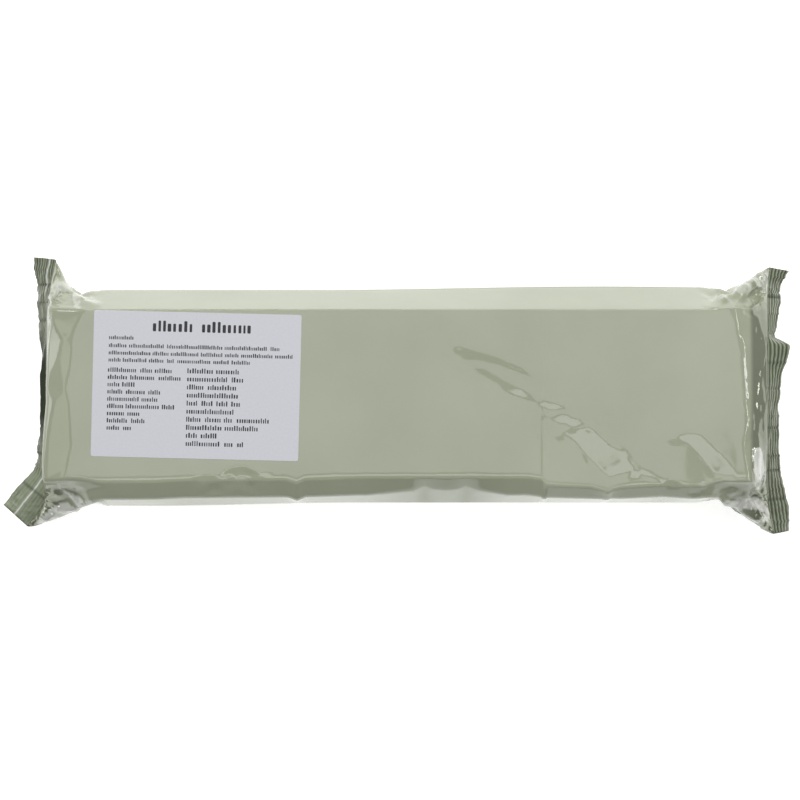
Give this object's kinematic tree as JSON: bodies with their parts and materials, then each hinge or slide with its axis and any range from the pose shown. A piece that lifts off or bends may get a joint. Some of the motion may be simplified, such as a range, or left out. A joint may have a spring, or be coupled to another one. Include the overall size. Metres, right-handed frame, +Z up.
{
  "type": "wrapped halva block",
  "caption": "Long block of sweet shut in a glossy green flow wrap with crimped end fins and a paper label, lying flat.",
  "frame": {"origin": "middle of the footprint, on the surface the pack lies on", "axes": "+X along the pack towards its right end as seen with the label upright, +Y towards the label's upper edge, +Z up out of the label"},
  "size_m": [0.4104, 0.1442, 0.0626],
  "materials": {
    "film": "glossy sage green laminated film, smooth, creased at the ends, ribbed on the crimped fins",
    "label": "matt white paper sticker with small dark print shown as plain marks"
  },
  "bodies": {
    "root": {"pack": "film", "label": "label"}
  },
  "joints": []
}
